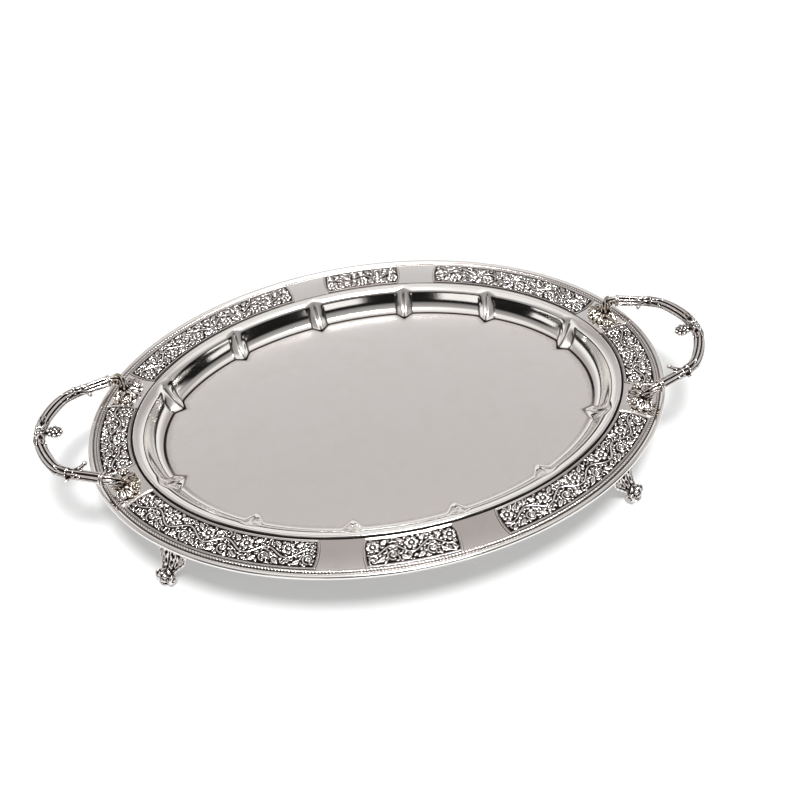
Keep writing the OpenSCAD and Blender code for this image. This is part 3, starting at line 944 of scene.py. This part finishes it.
def local_frame(angle, offset):
    """Turns places [outward, along the edge, height] at the rim into the tray's own."""
    point, facing = rim_point(angle, offset), outward(angle)
    turn = np.array([[facing[0], facing[1], 0], [-facing[1], facing[0], 0], [0, 0, 1]])
    return lambda p: np.asarray(p, float) @ turn + np.array([*point, 0])


def placed(shape, place):
    return place(shape[0]), shape[1]


def leaf_ring(center, axis, count, inner, outer, rise, width, thick=0.8, lobes=2, curl=0.6):
    """Leaves that fan out round an axis, from a small circle to a larger one."""
    center, axis = np.asarray(center), unit(axis)
    shapes = []
    for out in circle(axis, count, up=(0.3, 0.2, 1)):
        points = [center + inner * out, center + (inner + outer) / 2 * out + 0.7 * rise * axis,
                  center + outer * out + rise * axis,
                  center + (outer + 0.5 * curl) * out + (rise + curl) * axis]
        widths = [0.6 * width, width, 0.85 * width, 0.15 * width]
        thicks = [thick, thick, 0.6 * thick, 0.25 * thick]
        shapes.append(blade(spline(points, 6), widths, thicks, up=axis, lobes=lobes, arch=0.1))
    return shapes


def flower(center, axis, radius):
    """A rosette: an outer and an inner ring of round petals about an eye."""
    center, axis = np.asarray(center, float), unit(axis)
    shapes = [disc(center - 0.15 * radius * axis, axis, 0.7 * radius, 0.4 * radius)]
    for count, place, size, rise, start in ((8, 0.7, 0.29, 0.0, 0.0), (6, 0.38, 0.23, 0.24, 0.3)):
        for out in circle(axis, count, start):
            shapes.append(ball(center + radius * (place * out + rise * axis), size * radius))
            inner = center + radius * ((place - 0.16) * out + (rise + 0.12) * axis)
            shapes.append(ball(inner, 0.6 * size * radius))
    shapes.append(ball(center + 0.42 * radius * axis, 0.2 * radius))
    return shapes


def hugging_leaves(path, radius, count, width, flare, start=0.0, lobes=3):
    """Leaves that lie along a bar, round it, with their tips flared away from it."""
    heading, across, top = path_frames(path, (0, 0, 1))
    shapes = []
    s = np.linspace(0, 1, len(path))[:, None]
    for k in range(count):
        a = start + 2 * np.pi * k / count
        out = math.cos(a) * across + math.sin(a) * top
        line = path + out * (radius + 0.15 + flare * s**3)
        shapes.append(blade(line, [0.7 * width, width, 0.8 * width, 0.12 * width], [0.7, 0.75, 0.6, 0.25],
                            up=out.mean(axis=0), lobes=lobes, arch=-0.25))
    return shapes


def bead_ring(center, axis, radius, bead, count):
    return [ball(center + radius * out, bead, rows=10, sides=14) for out in circle(axis, count)]


REEDED = {"sides": 112, "reeds": 8, "reed_depth": 0.34}


def handle_half():
    """The back half of the right handle: its arm, with the tenon, and the leafy knuckle."""
    arm = np.linspace(RAIL_START - 2 * ARM, KNUCKLE, 40)
    tip = spline([KNUCKLE, [205.2, 37.6, KNUCKLE[2] + 0.5], [201.6, 35.6, KNUCKLE[2] + 1.0],
                  [199.4, 32.6, KNUCKLE[2] + 1.0]], 8)
    half = [
        tube(arm, [4.1, 3.9, 3.7, 3.6], twist=1.5, **REEDED),
        tube(np.linspace(RAIL_START - 7.4 * ARM, RAIL_START, 5), 1.95, sides=32),
        tube(tip, [2.6, 2.0, 1.5, 1.1], sides=40, reeds=6, reed_depth=0.2),
        ball(tip[-1], 1.7),
    ]
    half += bead_ring(KNUCKLE + 1.2 * ARM, ARM, 3.5, 0.75, 14)
    half += bead_ring(KNUCKLE - 3.4 * ARM, ARM, 3.2, 0.6, 14)
    arm_leaves = spline([KNUCKLE - 3 * ARM, KNUCKLE - 6 * ARM, KNUCKLE - 9.5 * ARM], 8)
    half += hugging_leaves(arm_leaves, 2.7, 4, 1.9, 1.3, start=0.5)
    start = np.argmin(np.linalg.norm(bow[: len(bow) // 2] - KNUCKLE, axis=1))
    half += hugging_leaves(bow[start + 2:start + 30:2], 2.7, 4, 2.0, 1.4, start=0.2)
    spike = spline(KNUCKLE + [[0, 1.5, -0.5], [0.8, 4.2, -1.0], [2.6, 6.6, -0.4]], 7)
    half.append(blade(spike, [2.4, 1.8, 0.25], [1.2, 0.9, 0.3], up=(0.2, 0, 1), lobes=2))
    barb = spline(KNUCKLE + [[-2, 1.5, 0.5], [-3.2, 4.0, 0.8], [-2.6, 5.8, 1.6]], 6)
    half.append(blade(barb, [1.8, 1.4, 0.2], [1.0, 0.8, 0.3], up=(0.2, 0, 1), lobes=1))
    half.append(ball(KNUCKLE, 3.5, scale=(1, 1, 0.95)))
    for step in (1.6, 3.4):
        half += bead_ring(BOW_MIDDLE + [-0.4 * step / 3.4, step, 0], (-0.08, 1, 0), 3.1, 0.7, 12)
    half_bow = bow[: len(bow) // 2 + 1][::-1]
    half += hugging_leaves(half_bow[6:30:2], 3.2, 5, 2.3, 0.7, start=0.75, lobes=2)
    return half


def handle_shapes():
    """The right handle: a reeded bow with a wrapped middle, and its two halves."""
    half = handle_half()
    shapes = [tube(bow, [3.8, 3.8, 4.1, 4.0, 3.4, 4.0, 4.1, 3.8, 3.8], **REEDED)]
    shapes += half + [mirrored(shape, 1, -1) for shape in half]
    shapes.append(ball(BOW_MIDDLE, 3.9, scale=(0.98, 0.8, 0.98)))
    return shapes + leaf_ring(BOW_MIDDLE + [-2.4, 0, 0], (-1, 0, 0.2), 5, 0.6, 3.0, 0.4, 1.5)


ROSETTE_R = 5.6


def rosette_shapes():
    low, high = corners("right_rosette")
    centre = np.array([low[0] + ROSETTE_R, 0, RAIL_Z])
    shapes = flower(centre + [0, 0, -0.4], (-0.25, 0, 1), ROSETTE_R)
    shapes.append(tube(np.linspace(centre, [RAIL_X - 1, 0, RAIL_Z], 5), [2.6, 1.8, 1.6], sides=24))
    return shapes


MOUNT_ANGLE, MOUNT_OFFSET, STUD_OFFSET, STUD_SIDE = 19.0, 18.0, 20.0, 7.5
HUB = np.array([4.6, 2.2, 0.0])


def mount_shapes():
    """The right back leaf mount: leaves that fan over the rim, two flowers and a leafy neck."""
    z = BAND_Z
    phi = around(96)
    edge = 1 - 0.06 * (1 - np.cos(9 * phi))
    outline = np.stack([8.6 * edge * np.cos(phi), 12.6 * edge * np.sin(phi)], -1)
    steps = ((0.97, -0.1), (1, 0.3), (0.96, 0.9), (0.6, 1.3), (0.2, 1.6))
    shapes = [ring_solid(np.stack([ring_at(outline * f, z + h) for f, h in steps]))]
    fan = ((58, 9.5), (80, 12.6), (101, 13.6), (122, 13.4), (143, 12.8), (164, 12.6), (186, 12.8), (208, 13),
           (230, 13.2), (251, 13.8), (272, 13.4), (294, 10.5))
    for k, (angle, length) in enumerate(fan):
        a = math.radians(angle)
        out = np.array([math.cos(a), math.sin(a), 0])
        lift = 0.5 * (k % 2)
        line = [HUB + [0, 0, z + 2.6] + 1.5 * out]
        for rise, share in ((2.9, 0.42), (1.6, 0.75), (1.1, 0.93), (1.9, 1.02)):
            line.append(HUB + [0, 0, z + rise + lift] + share * length * out)
        shapes.append(blade(spline(line, 7), [1.0, 1.9, 2.2, 1.5, 0.2], [0.9, 1.0, 0.9, 0.6, 0.3],
                            lobes=3, arch=0.12))
    for side in (-1, 1):
        stud_xy = [MOUNT_OFFSET - STUD_OFFSET, side * STUD_SIDE]
        shapes += flower([*stud_xy, z + 3.0], (0, 0, 1), 3.9)
        shapes.append(disc([*stud_xy, z + 1.6], (0, 0, 1), 2.8, 3.0))
    place = local_frame(MOUNT_ANGLE, MOUNT_OFFSET)
    shapes = [placed(part, place) for part in shapes]
    neck_end = COLLAR_C - COLLAR_W / 2 * ARM
    neck = spline([[179, 46, z + 1], [179.8, 47.4, RIM_Z + 5], [181.6, 48.5, RIM_Z + 9.4],
                   neck_end - 2.6 * ARM, neck_end], 12)
    shapes.append(tube(neck, [4.6, 3.6, 3.0, 2.9, 3.3], up=(0.3, -0.95, 0), sides=84, reeds=6,
                       reed_depth=0.3))
    return shapes + hugging_leaves(neck[2:36:2], 3.2, 5, 1.9, 1.1, start=0.4)


def collar_shapes():
    """The double ring over the joint between a handle and its mount."""
    steps = [-1.5, -1.4, -1.15, -0.75, -0.35, -0.12, 0.12, 0.35, 0.75, 1.15, 1.4, 1.5]
    radii = [3.7, 4.3, 4.7, 4.8, 4.5, 3.5, 3.5, 4.5, 4.8, 4.7, 4.3, 3.7]
    _, across, top = path_frames(COLLAR_C + np.outer([-1.0, 0.0, 1.0], ARM), (0, 0, 1))
    phi = around(56)[:, None]
    outline = np.cos(phi) * across[1] + np.sin(phi) * top[1]
    return [ring_solid(np.stack([COLLAR_C + s * ARM + r * outline for s, r in zip(steps, radii)]))]


FOOT_ANGLE = 39.0


def foot_side(side):
    """What a foot has on each side: fronds, a scroll by the knee, and a leaf and a scroll by the toe."""
    def at(*points):
        return np.array(points) * [1, side, 1]

    frond = at([-13.0, 9.4, 38.6], [-12.4, 8.2, 31], [-10.6, 6.0, 22], [-7.6, 3.8, 14], [-3.2, 2.6, 8.0],
               [0.5, 2.4, 5.5])
    back = at([-15.5, 4.4, 38.6], [-14.6, 4.0, 30], [-12.6, 3.4, 21], [-9.4, 2.6, 12], [-4.4, 0, 5.2])
    eye, = at([-9.9, 9.0, 19.0])
    arm = at([-9.9, 7.6, 22.6], [-9.6, 5.4, 22.8], [-9.0, 3.4, 20])
    lower = at([-9.9, 10.8, 16.2], [-8.4, 8.8, 13.0], [-5.4, 5.8, 10.0], [-2.0, 4.0, 7.4])
    curl, curl_eye = at([0.2, 6.0, 4.3], [0.2, 6.3, 4.3])
    top = at([-12.2, 6.0, 38.8], [-9.6, 6.6, 36.6], [-8.0, 7.2, 36.9])
    return [
        blade(spline(frond, 9), [3.4, 3.2, 2.6, 2.2, 2.2, 1.6], [1.4, 1.3, 1.2, 1.2, 1.2, 0.8],
              up=(1, side * 0.5, 0.3), lobes=8, arch=0.2, sides=40),
        tube(spline(back, 8), [2.0, 1.5, 1.3, 1.5, 2.2], sides=24),
        scroll(eye, (0, -side * 0.35, 1), (0, side, 0.2), 3.6, 0.9, 1.35, [1.2, 1.1, 0.9, 0.7],
               up=(1, 0, 0)),
        ball(eye, 1.35),
        tube(spline(arm, 6), [1.2, 1.2, 1.0], sides=20),
        blade(spline(lower, 7), [0.9, 1.8, 1.8, 1.0], [0.8, 1.0, 1.0, 0.6], up=(1, side * 0.3, 0.5),
              lobes=4),
        scroll(curl, (0, 0, 1), (1, 0, 0), 3.1, 0.8, 1.4, [1.15, 1.0, 0.8, 0.6], up=(0, side, 0)),
        ball(curl_eye, 1.2),
        blade(spline(top, 6), [2.6, 2.2, 0.4], [1.2, 0.9, 0.3], up=(0.3, 0, 1), lobes=2),
    ]


def foot_shapes():
    """The right back foot: acanthus leaves that fan to the rim, side scrolls and a rolled toe."""
    phi = around(72)
    outline = np.stack([9 * np.cos(phi), 12 * np.sin(phi)], -1)
    plate = [ring_at([-18.5, 0] + outline * f, UNDER_Z + h)
             for f, h in ((0.9, -2.5), (1, -2.0), (1, -0.5), (0.97, 0))]
    leg = [[-12.5, 0, 39], [-12.6, 0, 31], [-10.6, 0, 22], [-7.2, 0, 13.5], [-2.6, 0, 8.4], [2.2, 0, 7.9],
           [4.1, 0, 5.2], [3.2, 0, 2.4]]
    roll = np.array([[0.3, y, 4.2] for y in np.linspace(-6.6, 6.6, 23)])
    shapes = [
        ring_solid(np.stack(plate)),
        blade(spline(leg, 9), [6.0, 5.2, 4.2, 3.8, 3.6, 3.4, 2.8, 1.6],
              [1.7, 1.5, 1.5, 1.6, 1.4, 1.0, 0.8, 0.5], up=(1, 0, 0.3), lobes=9, arch=0.15, sides=48),
        *foot_side(-1),
        *foot_side(1),
        tube(roll, [2.8, 3.7, 3.2, 3.9, 3.2, 3.7, 2.8], up=(0, 0, 1), sides=60, reeds=10, reed_depth=0.14),
        disc([0.5, 0, 0.75], (0, 0, 1), 4.9, 1.5),
    ]
    place = local_frame(FOOT_ANGLE, 0.0)
    return [placed(part, place) for part in shapes]


def handles():
    """Both handles and their rosettes, each cast from one shape and mirrored."""
    handle = fused(handle_shapes(), VOXEL)
    rosette = fused(rosette_shapes(), FINE_VOXEL)
    # Oxide and painted shade in the recesses of the handle and the rosette; the spare lets it climb higher
    # on them.
    handle_oxide_and_shade, rosette_oxide_and_shade = recess_oxide_and_shade(handle, 0.018), recess_oxide_and_shade(rosette, 0.03)
    for side, sx in SIDES.items():
        build(f"{side}_cast_handle", *mirrored(handle, sx, 1), CAST, slot="silver_casting",
              replaces=[f"{side}_handle"], layers=handle_oxide_and_shade)
        build(f"{side}_flower", *mirrored(rosette, sx, 1), CAST, slot="silver_casting",
              replaces=[f"{side}_rosette"], layers=rosette_oxide_and_shade)


def four_of_each():
    """The leaf mounts, collars and feet: one of each kind is made and mirrored into all four quarters."""
    kinds = (("acanthus_mount", "leaf_mount", fused(mount_shapes(), VOXEL), TARNISHED, "tarnished_casting"),
             ("beaded_collar", "collar", fused(collar_shapes(), FINE_VOXEL), CAST, "silver_casting"),
             ("acanthus_foot", "foot", fused(foot_shapes(), VOXEL), CAST, "silver_casting"))
    for name, node, shape, material, slot in kinds:
        # Oxide and painted shade in the recesses of each casting.
        oxide_and_shade = recess_oxide_and_shade(shape)
        for side, sx in SIDES.items():
            for depth, sy in DEPTHS.items():
                corner = f"{side}_{depth}"
                build(f"{corner}_{name}", *mirrored(shape, sx, sy), material, slot=slot,
                      replaces=[f"{corner}_{node}"], layers=oxide_and_shade)


def fasteners():
    """The brushed steel of the pieces that are carried over from the CAD."""
    steel, tree = new_material("brushed_steel")
    grain = tree.noise(1400.0, 4.0, 0.7)
    tree.surface({
        "Metallic": 1.0,
        "Base Color": tree.mix(grain, (0.50, 0.50, 0.51), (0.66, 0.66, 0.67)),
        "Roughness": tree.spread(grain, 0.3, 0.7, 0.24, 0.42),
        "Normal": tree.bump(grain, 0.00005, 0.6),
    })
    kinds = [f"{place}_{part}" for place in ("handle", "foot") for part in ("studs", "washers", "nuts")]
    for node in ["edge_wire"] + kinds:
        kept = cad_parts[node].data
        kept.materials.clear()
        kept.materials.append(steel)


photo_camera()
studio_floor()
key_light()
sky()
tray_body()
twisted_moulding()
chased_band()
handles()
four_of_each()
fasteners()
